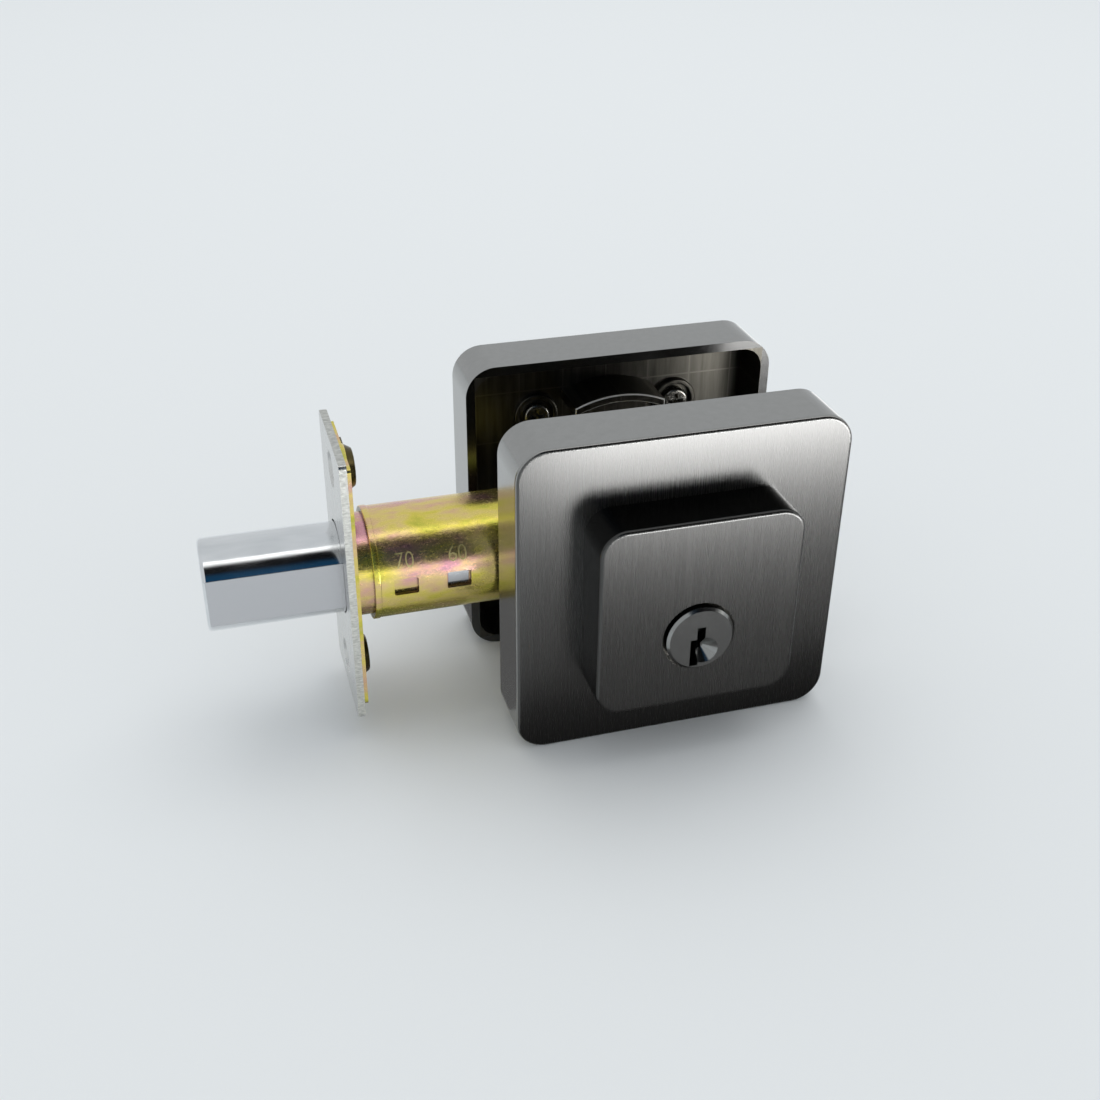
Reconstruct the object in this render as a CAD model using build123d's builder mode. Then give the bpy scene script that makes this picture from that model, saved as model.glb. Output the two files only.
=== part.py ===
"""Single-cylinder deadbolt with square rosettes and a two-backset tubular latch.

Frame: +Z up, +Y from the outside of the door to the room, +X away from the door edge.
The origin is where the axis of the door's cross bore meets the axis of the latch bore.
All sizes are in millimetres.
"""
import os
from math import radians, sin, sqrt

from build123d import *

# Rosettes: the square shells that lie on the two door faces
ROS_W = 63.5
ROS_DEPTH = 12.5
ROS_CORNER = 6.0
ROS_WALL = 1.8
ROS_FACE = 2.5
EDGE_ROUND = 0.7
GAP = 24.5
LUG_MARGIN = 3.75
LUG_T = 1.6
LUG_GAP = 1.0
LUG_ROUND = 0.35
BOSS_OUT = 4.6
BOSS_IN = 3.6
BOSS_H = 1.2
BOSS_ROUND = 0.3

# Raised square blocks on the rosettes
BLK_W = 38.5
BLK_H = 9.5
BLK_CORNER = 5.0
BLK_SKIN = 2.2

# Spindle line shared by plug, tailpiece, latch hub and thumb turn
SPINDLE_Z = -4.6

# Fasteners between the rosettes and their blocks
SCREW_INSET_X = 4.15
SCREW_INSET_Z = 2.95
SCREW_R = 1.45
SCREW_HEAD_R = 2.75
SCREW_HEAD_H = 1.8
SCREW_BITE = 6.0
POST_SHANK_R = 2.0
POST_R = 3.2
POST_END = 7.2
POST_BORE = 10.0
BOLT_INSET_X = 4.65
BOLT_INSET_Z = 4.25
BOLT_R = 1.9
BOLT_HEAD_R = 3.0
BOLT_HEAD_H = 2.6
BOLT_SINK = 3.6
RECESS_W = 0.8
RECESS_D = 0.9

# Key cylinder
CYL_R = 14.0
CYL_REAR = 0.3
FLANGE_R = 15.6
FLANGE_T = 1.5
CLAMP_MARGIN = 1.5
CLAMP_T = 2.5
CLAMP_CORNER = 3.0
PLUG_R = 6.5
PLUG_PROUD = 1.2
PLUG_BEVEL = 0.5
PLUG_RING = 0.5
PLUG_TAIL_R = 5.2
PLUG_TAIL = 3.0
KEYWAY_W = 1.6
KEYWAY_TOP = 2.5
KEYWAY_MID = 3.0
KEYWAY_LOW = 5.6
KEYWAY_STEP = 1.2
KEY_CONE_R = 2.7
KEY_CONE_D = 2.0
KEY_CONE_X = 0.7
KEY_CONE_Z = 2.5
PIN_N = 5
PIN_PITCH = 3.2
PIN_FIRST = 6.5
PIN_R = 1.4
PIN_LOW = 1.9
DRIVER_LEN = 3.6
CAP_W = 4.0
CAP_T = 1.1
CAP_Z = 12.0
CLIP_T = 0.9
CLIP_OUT = 7.2
CLIP_GROOVE = 0.8
CLIP_GATE = 5.0

# Tailpiece
TAIL_W = 7.0
TAIL_T = 2.0
TAIL_IN_PLUG = 3.5
TAIL_END = 22.0

# Latch front
BACKSET = 60.0
BACKSET_STEP = 10.0
THROW = 25.4
PLATE_L = 54.5
PLATE_W = 25.0
PLATE_T = 1.4
PLATE_CORNER = 1.0
BACK_L = 51.0
BACK_W = 21.5
BACK_T = 0.9
HOLE_SPACING = 41.3
HOLE_R = 2.2
CUP_R = 3.6
CUP_SMALL_R = 2.5
CUP_D = 1.8
CUP_ROUND = 0.4
CUP_WALL = 0.5
RIB_L = 8.6
RIB_W = 4.4

# Latch tubes
TUBE_OUT = 9.85
TUBE_IN = 9.05
TUBE_REAR = 30.0
SLEEVE_OUT = 10.8
NECK = 2.8
SLEEVE_REAR = 18.8
WINDOW_BACK = 21.0
WINDOW_N = 3
WINDOW_L = 4.6
WINDOW_H = 3.4
TAB_L = 3.9
TAB_H = 2.7
TAB_T = 0.7

# Bolt
BOLT_RAD = 8.75
BOLT_HALF = 7.35
BOLT_IN = 10.0
BOLT_EDGE = 0.8
ROLLER_R = 2.0
ROLLER_BACK = 8.5
LINK_R = 1.2
LINK_IN = 3.0

# Crank, drawbar and the case that carries them
HUB_R = 6.0
HUB_JOURNAL_R = 4.5
CASE_GAP = 5.0
CHEEK_T = 1.2
CHEEK_LOW = 10.2
CHEEK_TOP = 4.0
CHEEK_REAR = 9.0
COLLAR_L = 5.0
DRIVE_PIN_R = 1.5
CRANK_T = 3.0
PRONG_W = 1.5
PRONG_LEAD = 1.0
BAR_LOW = 2.2
BAR_H = 4.0
BAR_T = 1.5
BAR_LEAD = 1.0
BAR_EDGE = 1.5

# Room side
SPIN_R = 5.0
SPIN_NOSE_R = 3.0
SPIN_START = 11.0
WASHER_T = 0.9
WASHER_OUT = 8.0
TURN_COLLAR_R = 9.0
TURN_COLLAR_H = 3.0
TURN_L = 34.0
TURN_H = 10.0
TURN_D = 15.5
TURN_ROUND = 1.5
NOSE_L = 11.0
GRUB_R = 1.2
GRUB_Y = 5.5

# Clearances
FIT = 0.05
SLIP = 0.15
RUN = 0.3
CRANK_PLAY = 1.2

# Derived places
RIM = GAP / 2
FLOOR = RIM + ROS_DEPTH - ROS_FACE
FACE = RIM + ROS_DEPTH
TOP = FACE + BLK_H
PLUG_FRONT = -(TOP + PLUG_PROUD)
CYL_FRONT = -(TOP - BLK_SKIN)
CYL_BACK = -(RIM + CYL_REAR)
CLAMP_BACK = -(FLOOR - CLAMP_T)
CLAMP_W = BLK_W + CLAMP_MARGIN
SCREW_X = BLK_W / 2 - SCREW_INSET_X
SCREW_Z = BLK_W / 2 - SCREW_INSET_Z
LUG_R = BLK_W / 2 + LUG_MARGIN
LUG_W = 2 * (SCREW_X - BOSS_OUT - LUG_GAP)
CLAMP_H = 2 * (sqrt((LUG_R - LUG_T) ** 2 - (LUG_W / 2) ** 2) - RUN)
PLATE_X = -BACKSET
PLATE_BACK = PLATE_X + PLATE_T
BACK_BACK = PLATE_BACK + BACK_T
SLEEVE_IN = TUBE_OUT + FIT
SLEEVE_X = BACK_BACK + NECK
WINDOW_X = BACKSET - WINDOW_BACK
BOLT_TIP = PLATE_X - THROW
BOLT_TAIL = PLATE_X + BOLT_IN
LINK_X = BOLT_TAIL - LINK_IN
BAR_IN = CRANK_T / 2 + RUN
BAR_OUT = BAR_IN + BAR_T
BAR_TOP = BAR_LOW + BAR_H
BAR_FRONT = LINK_X - BACKSET_STEP - LINK_R - RUN - BAR_LEAD
PIN_X = -THROW / 2
PIN_Z = SPINDLE_Z + THROW / 2
PIN_YS = [PLUG_FRONT + PIN_FIRST + PIN_PITCH * i for i in range(PIN_N)]
BOLT_X = BLK_W / 2 - BOLT_INSET_X
BOLT_Z = BLK_W / 2 - BOLT_INSET_Z
TOP_SCREWS = [(-SCREW_X, SCREW_Z), (SCREW_X, SCREW_Z)]
LOW_BOLTS = [(-BOLT_X, -BOLT_Z), (BOLT_X, -BOLT_Z)]


def at_y(y):
    """Sketch plane across Y: sketch x is X, sketch y is Z, and extrusions go towards -Y."""
    return Plane(origin=(0, y, 0), x_dir=(1, 0, 0), z_dir=(0, -1, 0))


def at_x(x):
    """Sketch plane across X: sketch x is Y, sketch y is Z, and extrusions go towards +X."""
    return Plane(origin=(x, 0, 0), x_dir=(0, 1, 0), z_dir=(1, 0, 0))


def at_z(z):
    """Sketch plane across Z: sketch x is X, sketch y is Y."""
    return Plane.XY.offset(z)


def save(part, name):
    part.label = name
    export_step(part, "parts/" + name + ".step")


def inner_edges(shell, y, reach):
    """Edges that lie in the plane at y, nearer to the bore's axis than reach."""
    flat = shell.edges().filter_by_position(Axis.Y, y - FIT, y + FIT)
    return [edge for edge in flat if edge.center().X ** 2 + edge.center().Z ** 2 < reach ** 2]


def rosette(side, centre_r, centre_z, low_r, bosses):
    """Hollow square shell. side is -1 outside and +1 in the room."""
    with BuildPart() as shell:
        with BuildSketch(at_y(side * RIM)):
            RectangleRounded(ROS_W, ROS_W, ROS_CORNER)
        extrude(amount=-side * ROS_DEPTH)
        front = shell.edges().group_by(Axis.Y)[-1 if side > 0 else 0]
        fillet(front, radius=EDGE_ROUND)
        with BuildSketch(at_y(side * RIM)):
            RectangleRounded(ROS_W - 2 * ROS_WALL, ROS_W - 2 * ROS_WALL, ROS_CORNER - ROS_WALL)
        extrude(amount=-side * (ROS_DEPTH - ROS_FACE), mode=Mode.SUBTRACT)
        with BuildSketch(at_y(side * FLOOR)):
            Circle(LUG_R)
            Circle(LUG_R - LUG_T, mode=Mode.SUBTRACT)
            Rectangle(LUG_W, 2 * LUG_R, mode=Mode.INTERSECT)
        extrude(amount=side * (FLOOR - RIM))
        fillet(inner_edges(shell, side * RIM, LUG_R + RUN), radius=LUG_ROUND)
        if bosses:
            with BuildSketch(at_y(side * FLOOR)):
                with Locations(*TOP_SCREWS):
                    Circle(BOSS_OUT)
                    Circle(BOSS_IN, mode=Mode.SUBTRACT)
            extrude(amount=side * BOSS_H)
            fillet(inner_edges(shell, side * (FLOOR - BOSS_H), 2 * LUG_R), radius=BOSS_ROUND)
        with BuildSketch(at_y(side * FACE)):
            with Locations((0, centre_z)):
                Circle(centre_r)
            with Locations(*TOP_SCREWS):
                Circle(SCREW_R + SLIP)
            with Locations(*LOW_BOLTS):
                Circle(low_r)
        extrude(amount=side * 2 * ROS_DEPTH, mode=Mode.SUBTRACT)
    return shell.part


def pan_screws(seat, side, length):
    """Two pan-head screws at the top corners, heads in the hollow, points into the block."""
    with BuildPart() as screws:
        with BuildSketch(at_y(side * seat)):
            with Locations(*TOP_SCREWS):
                Circle(SCREW_R)
        extrude(amount=-side * length)
        with BuildSketch(at_y(side * seat)):
            with Locations(*TOP_SCREWS):
                Circle(SCREW_HEAD_R)
        extrude(amount=side * SCREW_HEAD_H)
        tips = screws.edges().group_by(Axis.Y)[0 if side > 0 else -1]
        fillet(tips, radius=SCREW_HEAD_H / 3)
        with BuildSketch(at_y(side * (seat - SCREW_HEAD_H))):
            with Locations(*TOP_SCREWS):
                Rectangle(SCREW_HEAD_R * 1.2, RECESS_W)
                Rectangle(RECESS_W, SCREW_HEAD_R * 1.2)
        extrude(amount=-side * RECESS_D, mode=Mode.SUBTRACT)
    return screws.part


def clip_ring(y_low, inner, outer):
    """Open retaining ring on the spindle line, gap upwards."""
    with BuildPart() as ring:
        with BuildSketch(at_y(y_low + CLIP_T)):
            with Locations((0, SPINDLE_Z)):
                Circle(outer)
                Circle(inner, mode=Mode.SUBTRACT)
            with Locations((0, SPINDLE_Z + outer)):
                Rectangle(CLIP_GATE, 2 * (outer - inner) + 2, mode=Mode.SUBTRACT)
        extrude(amount=CLIP_T)
    return ring.part


def cup_places(x):
    """Places on the two faceplate screw lines whose cones widen towards -X, centred at x."""
    return [Location((x, 0, z * HOLE_SPACING / 2), (0, 90, 0)) for z in (-1, 1)]


def bolt_section():
    """Cross-section of the bolt: a round bar with two flats, in the plane across X."""
    Circle(BOLT_RAD)
    Rectangle(2 * BOLT_HALF, 4 * BOLT_RAD, mode=Mode.INTERSECT)


os.makedirs("parts", exist_ok=True)

# Outside rosette and its square cylinder housing
save(rosette(-1, CYL_R + SLIP, 0, POST_SHANK_R + SLIP, False), "outside_rosette")

with BuildPart() as housing:
    with BuildSketch(at_y(-FACE)):
        RectangleRounded(BLK_W, BLK_W, BLK_CORNER)
    extrude(amount=BLK_H)
    fillet(housing.edges().group_by(Axis.Y)[0], radius=EDGE_ROUND)
    with BuildSketch(at_y(-FACE)):
        Circle(CYL_R + SLIP)
    extrude(amount=BLK_H - BLK_SKIN, mode=Mode.SUBTRACT)
    with BuildSketch(at_y(-FACE)):
        with Locations((0, SPINDLE_Z)):
            Circle(PLUG_R + PLUG_RING)
    extrude(amount=BLK_H, mode=Mode.SUBTRACT)
    with BuildSketch(at_y(-FACE)):
        with Locations(*TOP_SCREWS):
            Circle(SCREW_R + FIT)
        with Locations(*LOW_BOLTS):
            Circle(POST_SHANK_R + FIT)
    extrude(amount=SCREW_BITE + RUN, mode=Mode.SUBTRACT)
save(housing.part, "cylinder_housing")

# Cylinder body with its flange, plug bore, pin chambers and slot for the chamber cap
with BuildPart() as body:
    with BuildSketch(at_y(CYL_BACK)):
        Circle(CYL_R)
    extrude(amount=CYL_BACK - CYL_FRONT)
    with BuildSketch(at_y(-FLOOR + FLANGE_T)):
        Circle(FLANGE_R)
    extrude(amount=FLANGE_T)
    with BuildSketch(at_y(CYL_BACK)):
        with Locations((0, SPINDLE_Z)):
            Circle(PLUG_R + FIT)
    extrude(amount=CYL_BACK - CYL_FRONT, mode=Mode.SUBTRACT)
    with BuildSketch(at_z(SPINDLE_Z)):
        with Locations(*[(0, y) for y in PIN_YS]):
            Circle(PIN_R + FIT)
    extrude(amount=CAP_Z - SPINDLE_Z + FIT, mode=Mode.SUBTRACT)
    with BuildSketch(at_z(CAP_Z)):
        with Locations((0, (PIN_YS[0] + PIN_YS[-1]) / 2)):
            Rectangle(CAP_W + 2 * FIT, PIN_YS[-1] - PIN_YS[0] + CAP_W + 2 * FIT)
    extrude(amount=FLANGE_R, mode=Mode.SUBTRACT)
save(body.part, "cylinder_body")

with BuildPart() as cap:
    with BuildSketch(at_z(CAP_Z)):
        with Locations((0, (PIN_YS[0] + PIN_YS[-1]) / 2)):
            Rectangle(CAP_W, PIN_YS[-1] - PIN_YS[0] + CAP_W)
    extrude(amount=CAP_T)
save(cap.part, "chamber_cap")

# Plate that clamps the cylinder's flange on the floor of the rosette
with BuildPart() as clamp:
    with BuildSketch(at_y(CLAMP_BACK)):
        RectangleRounded(CLAMP_W, CLAMP_H, CLAMP_CORNER)
        Circle(CYL_R + SLIP, mode=Mode.SUBTRACT)
        with Locations(*TOP_SCREWS):
            Circle(SCREW_R + SLIP, mode=Mode.SUBTRACT)
        with Locations(*LOW_BOLTS):
            Circle(POST_SHANK_R + SLIP, mode=Mode.SUBTRACT)
    extrude(amount=CLAMP_T)
    with BuildSketch(at_y(-FLOOR + FLANGE_T)):
        Circle(FLANGE_R + SLIP)
    extrude(amount=FLANGE_T, mode=Mode.SUBTRACT)
save(clamp.part, "clamp_plate")

save(pan_screws(FLOOR - CLAMP_T, -1, CLAMP_T + ROS_FACE + SCREW_BITE), "housing_screws")

with BuildPart() as posts:
    with BuildSketch(at_y(CLAMP_BACK)):
        with Locations(*LOW_BOLTS):
            Circle(POST_SHANK_R)
    extrude(amount=CLAMP_T + ROS_FACE + SCREW_BITE)
    with BuildSketch(at_y(-POST_END)):
        with Locations(*LOW_BOLTS):
            Circle(POST_R)
    extrude(amount=-CLAMP_BACK - POST_END)
    with BuildSketch(at_y(-POST_END)):
        with Locations(*LOW_BOLTS):
            Circle(BOLT_R + FIT)
    extrude(amount=POST_BORE, mode=Mode.SUBTRACT)
save(posts.part, "mounting_posts")

# Key plug: stepped keyway, conical key entry, pin chambers, grooved tail
PLUG_END = CYL_BACK + PLUG_TAIL
GROOVE_Y = CYL_BACK + SLIP
with BuildPart() as plug:
    with BuildSketch(at_y(CYL_BACK)):
        with Locations((0, SPINDLE_Z)):
            Circle(PLUG_R)
    extrude(amount=CYL_BACK - PLUG_FRONT)
    chamfer(plug.edges().group_by(Axis.Y)[0], length=PLUG_BEVEL)
    with BuildSketch(at_y(PLUG_END)):
        with Locations((0, SPINDLE_Z)):
            Circle(PLUG_TAIL_R)
    extrude(amount=PLUG_TAIL)
    with BuildSketch(at_y(GROOVE_Y + CLIP_T + 2 * FIT)):
        with Locations((0, SPINDLE_Z)):
            Circle(PLUG_TAIL_R + RUN)
            Circle(PLUG_TAIL_R - CLIP_GROOVE, mode=Mode.SUBTRACT)
    extrude(amount=CLIP_T + 2 * FIT, mode=Mode.SUBTRACT)
    with BuildSketch(at_y(PLUG_FRONT)):
        with Locations((0, SPINDLE_Z + (KEYWAY_TOP - KEYWAY_MID) / 2)):
            Rectangle(KEYWAY_W, KEYWAY_TOP + KEYWAY_MID)
        with Locations((-KEYWAY_STEP, SPINDLE_Z - KEYWAY_LOW / 2)):
            Rectangle(KEYWAY_W, KEYWAY_LOW)
    extrude(amount=-(PIN_YS[-1] - PLUG_FRONT + PIN_R), mode=Mode.SUBTRACT)
    cone_place = (KEY_CONE_X, PLUG_FRONT + KEY_CONE_D / 2, SPINDLE_Z - KEY_CONE_Z)
    with Locations(Location(cone_place, (90, 0, 0))):
        Cone(bottom_radius=KEY_CONE_R / 6, top_radius=KEY_CONE_R, height=KEY_CONE_D, mode=Mode.SUBTRACT)
    with BuildSketch(at_z(SPINDLE_Z - PIN_LOW - FIT)):
        with Locations(*[(0, y) for y in PIN_YS]):
            Circle(PIN_R + FIT)
    extrude(amount=PLUG_R + PIN_LOW + RUN, mode=Mode.SUBTRACT)
    with BuildSketch(at_y(PLUG_END)):
        with Locations((0, SPINDLE_Z)):
            Rectangle(TAIL_T + 2 * FIT, TAIL_W + 2 * FIT)
    extrude(amount=TAIL_IN_PLUG, mode=Mode.SUBTRACT)
save(plug.part, "key_plug")

# Pins at the height where a key holds them, so that the plug is free to turn
KEY_PIN_TOP = SPINDLE_Z + sqrt(PLUG_R ** 2 - PIN_R ** 2) - FIT
with BuildPart() as key_pins:
    with BuildSketch(at_z(SPINDLE_Z - PIN_LOW)):
        with Locations(*[(0, y) for y in PIN_YS]):
            Circle(PIN_R)
    extrude(amount=KEY_PIN_TOP - SPINDLE_Z + PIN_LOW)
save(key_pins.part, "key_pins")

DRIVER_Z = SPINDLE_Z + PLUG_R + 2 * FIT
with BuildPart() as drivers:
    with BuildSketch(at_z(DRIVER_Z)):
        with Locations(*[(0, y) for y in PIN_YS]):
            Circle(PIN_R)
    extrude(amount=DRIVER_LEN)
save(drivers.part, "driver_pins")

with BuildPart() as springs:
    with BuildSketch(at_z(DRIVER_Z + DRIVER_LEN)):
        with Locations(*[(0, y) for y in PIN_YS]):
            Circle(PIN_R - 2 * FIT)
            Circle(PIN_R / 2, mode=Mode.SUBTRACT)
    extrude(amount=CAP_Z - DRIVER_Z - DRIVER_LEN)
save(springs.part, "pin_springs")

save(clip_ring(GROOVE_Y + FIT, PLUG_TAIL_R - CLIP_GROOVE + FIT, CLIP_OUT), "plug_clip")

with BuildPart() as tailpiece:
    with BuildSketch(at_y(TAIL_END)):
        with Locations((0, SPINDLE_Z)):
            Rectangle(TAIL_T, TAIL_W)
    extrude(amount=TAIL_END - PLUG_END + TAIL_IN_PLUG)
    chamfer(tailpiece.edges().group_by(Axis.Y)[-1], length=TAIL_T / 5)
save(tailpiece.part, "tailpiece")

# Faceplate with two countersunk screw cups and the bolt's opening
with BuildPart() as faceplate:
    with BuildSketch(at_x(PLATE_X)):
        RectangleRounded(PLATE_W, PLATE_L, PLATE_CORNER)
    extrude(amount=PLATE_T)
    with Locations(*cup_places(PLATE_BACK + CUP_D / 2)):
        Cone(bottom_radius=CUP_R, top_radius=CUP_SMALL_R + CUP_WALL, height=CUP_D)
    with Locations(*cup_places(PLATE_X + CUP_D / 2)):
        Cone(bottom_radius=CUP_R, top_radius=CUP_SMALL_R, height=CUP_D, mode=Mode.SUBTRACT)
    with BuildSketch(at_x(PLATE_X)):
        with GridLocations(1, HOLE_SPACING, 1, 2):
            Circle(HOLE_R)
    extrude(amount=PLATE_T + CUP_D, mode=Mode.SUBTRACT)
    with BuildSketch(at_x(PLATE_X)):
        Circle(BOLT_RAD + RUN)
        Rectangle(2 * (BOLT_HALF + RUN), 4 * BOLT_RAD, mode=Mode.INTERSECT)
    extrude(amount=PLATE_T, mode=Mode.SUBTRACT)
save(faceplate.part, "faceplate")

# Yellow back plate: opening for the tube, formed cups that take the faceplate's cups, stiffening ribs
with BuildPart() as back_plate:
    with BuildSketch(at_x(PLATE_BACK)):
        RectangleRounded(BACK_W, BACK_L, PLATE_CORNER)
    extrude(amount=BACK_T)
    with Locations(*cup_places(BACK_BACK + CUP_D / 2)):
        Cone(bottom_radius=CUP_R + 2 * CUP_WALL, top_radius=CUP_SMALL_R + 2 * CUP_WALL, height=CUP_D)
    fillet(back_plate.edges().filter_by(GeomType.CIRCLE).group_by(Axis.X)[-1], radius=CUP_ROUND)
    with BuildSketch(at_x(PLATE_BACK)):
        with Locations(*[(CUP_R + CUP_WALL, z * HOLE_SPACING / 2) for z in (-1, 1)]):
            Rectangle(RIB_L, RIB_W)
    extrude(amount=BACK_T + CUP_D / 2)
    with Locations(*cup_places(PLATE_BACK + CUP_D / 2)):
        Cone(bottom_radius=CUP_R + SLIP, top_radius=CUP_SMALL_R + CUP_WALL + SLIP, height=CUP_D,
             mode=Mode.SUBTRACT)
    with BuildSketch(at_x(PLATE_BACK)):
        with GridLocations(1, HOLE_SPACING, 1, 2):
            Circle(CUP_SMALL_R + CUP_WALL / 2)
        Circle(TUBE_OUT + FIT)
    extrude(amount=BACK_T + CUP_D, mode=Mode.SUBTRACT)
save(back_plate.part, "back_plate")

# Inner tube that carries the bolt, with the pocket of the backset tab
with BuildPart() as tube:
    with BuildSketch(at_x(PLATE_BACK)):
        Circle(TUBE_OUT)
        Circle(TUBE_IN, mode=Mode.SUBTRACT)
    extrude(amount=-TUBE_REAR - PLATE_BACK)
    with BuildSketch(at_y(-TUBE_IN / 2)):
        with Locations((-WINDOW_X, 0)):
            Rectangle(TAB_L + 2 * FIT, TAB_H + 2 * FIT)
    extrude(amount=TUBE_OUT, mode=Mode.SUBTRACT)
save(tube.part, "inner_tube")

with BuildPart() as tab:
    with BuildSketch(at_y(-(TUBE_OUT - TAB_T))):
        with Locations((-WINDOW_X, 0)):
            Rectangle(TAB_L, TAB_H)
    extrude(amount=2 * TAB_T)
    with BuildSketch(at_x(-WINDOW_X - TAB_L)):
        Circle(TUBE_OUT)
    extrude(amount=2 * TAB_L, mode=Mode.INTERSECT)
save(tab.part, "backset_tab")

# Outer sleeve with its row of backset windows
with BuildPart() as sleeve:
    with BuildSketch(at_x(SLEEVE_X)):
        Circle(SLEEVE_OUT)
        Circle(SLEEVE_IN, mode=Mode.SUBTRACT)
    extrude(amount=-SLEEVE_REAR - SLEEVE_X)
    with BuildSketch(at_y(-SLEEVE_IN / 2)):
        with Locations(*[(-WINDOW_X + BACKSET_STEP * (i - 1), 0) for i in range(WINDOW_N)]):
            RectangleRounded(WINDOW_L, WINDOW_H, WINDOW_H / 10)
    extrude(amount=SLEEVE_OUT, mode=Mode.SUBTRACT)
save(sleeve.part, "sleeve")

# Case at the rear of the sleeve: a collar in the tube and two cheeks that carry the crank
CHEEK_OUT = CASE_GAP + CHEEK_T
COLLAR_X = -SLEEVE_REAR - COLLAR_L
CHEEK_L = CHEEK_REAR + SLEEVE_REAR
with BuildPart() as case:
    with BuildSketch(at_x(COLLAR_X)):
        Circle(SLEEVE_IN - FIT)
    extrude(amount=COLLAR_L)
    with BuildSketch(at_x(-SLEEVE_REAR)):
        with Locations((CHEEK_OUT - CHEEK_T / 2, 0), (-CHEEK_OUT + CHEEK_T / 2, 0)):
            Rectangle(CHEEK_T, 2 * CHEEK_TOP)
    extrude(amount=CHEEK_L)
    with BuildSketch(at_y(CHEEK_OUT)):
        Polygon((-SLEEVE_REAR + RUN, CHEEK_TOP), (-SLEEVE_REAR + RUN, -CHEEK_TOP),
                (-HUB_R - CHEEK_TOP, -CHEEK_LOW), (CHEEK_REAR, -CHEEK_LOW), (CHEEK_REAR, CHEEK_TOP),
                align=None)
    extrude(amount=2 * CHEEK_OUT)
    with BuildSketch(at_y(CASE_GAP)):
        with Locations(((CHEEK_REAR - SLEEVE_REAR) / 2, 0)):
            Rectangle(CHEEK_L, 4 * CHEEK_LOW)
    extrude(amount=2 * CASE_GAP, mode=Mode.SUBTRACT)
    with BuildSketch(at_y(CHEEK_OUT)):
        with Locations((0, SPINDLE_Z)):
            Circle(HUB_JOURNAL_R + FIT)
    extrude(amount=2 * CHEEK_OUT, mode=Mode.SUBTRACT)
    with BuildSketch(at_x(COLLAR_X)):
        with Locations((0, BAR_LOW + BAR_H / 2)):
            Rectangle(2 * (BAR_OUT + RUN), BAR_H + 2 * RUN)
    extrude(amount=COLLAR_L, mode=Mode.SUBTRACT)
save(case.part, "hub_case")

# Crank: hub with journals and a slot for the tailpiece, and a fork at 45 degrees around the drive pin
FORK_TIP = sqrt(2) * THROW / 2 + PRONG_LEAD
FORK_RISE = FORK_TIP * sin(radians(45))
FORK_ROOT = THROW / 2 - DRIVE_PIN_R - CRANK_PLAY
FORK_SLOT = 2 * (DRIVE_PIN_R + CRANK_PLAY)
with BuildPart() as crank:
    with BuildSketch(at_y(CRANK_T / 2)):
        with Locations(Location((-FORK_RISE / 2, SPINDLE_Z + FORK_RISE / 2), 135)):
            Rectangle(FORK_TIP, FORK_SLOT + 2 * PRONG_W)
        with Locations(Location((-FORK_RISE, SPINDLE_Z + FORK_RISE), 135)):
            Rectangle(2 * (FORK_TIP - FORK_ROOT), FORK_SLOT, mode=Mode.SUBTRACT)
    extrude(amount=CRANK_T)
    with BuildSketch(at_y(CHEEK_OUT)):
        with Locations((0, SPINDLE_Z)):
            Circle(HUB_JOURNAL_R)
    extrude(amount=2 * CHEEK_OUT)
    with BuildSketch(at_y(CASE_GAP - RUN)):
        with Locations((0, SPINDLE_Z)):
            Circle(HUB_R)
    extrude(amount=2 * (CASE_GAP - RUN))
    with BuildSketch(at_y(CHEEK_OUT)):
        with Locations((0, SPINDLE_Z)):
            Rectangle(TAIL_T + 2 * SLIP, TAIL_W + 2 * SLIP)
    extrude(amount=2 * CHEEK_OUT, mode=Mode.SUBTRACT)
save(crank.part, "crank")

# Drawbar: two strips joined in front, holes for the drive pin, long slot for the link pin
BAR_REAR = PIN_X + DRIVE_PIN_R + BAR_EDGE
LUG_START = PIN_X - DRIVE_PIN_R - BAR_EDGE
LUG_HIGH = PIN_Z + DRIVE_PIN_R + BAR_EDGE
with BuildPart() as drawbar:
    with BuildSketch(at_y(BAR_OUT)):
        Polygon((BAR_FRONT, BAR_LOW), (BAR_REAR, BAR_LOW), (BAR_REAR, LUG_HIGH), (LUG_START, LUG_HIGH),
                (LUG_START, BAR_TOP), (BAR_FRONT, BAR_TOP), align=None)
        with Locations((PIN_X, PIN_Z)):
            Circle(DRIVE_PIN_R + FIT, mode=Mode.SUBTRACT)
        with Locations((LINK_X - BACKSET_STEP / 2, BAR_LOW + BAR_H / 2)):
            Rectangle(BACKSET_STEP + 2 * LINK_R + 2 * RUN, 2 * LINK_R + 2 * SLIP, mode=Mode.SUBTRACT)
    extrude(amount=2 * BAR_OUT)
    with BuildSketch(at_y(BAR_IN)):
        with Locations(((BAR_FRONT + BAR_LEAD) / 2, LUG_HIGH / 2)):
            Rectangle(-BAR_FRONT - BAR_LEAD, LUG_HIGH)
    extrude(amount=2 * BAR_IN, mode=Mode.SUBTRACT)
save(drawbar.part, "drawbar")

with BuildPart() as drive_pin:
    with BuildSketch(at_y(BAR_OUT)):
        with Locations((PIN_X, PIN_Z)):
            Circle(DRIVE_PIN_R)
    extrude(amount=2 * BAR_OUT)
save(drive_pin.part, "drive_pin")

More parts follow.
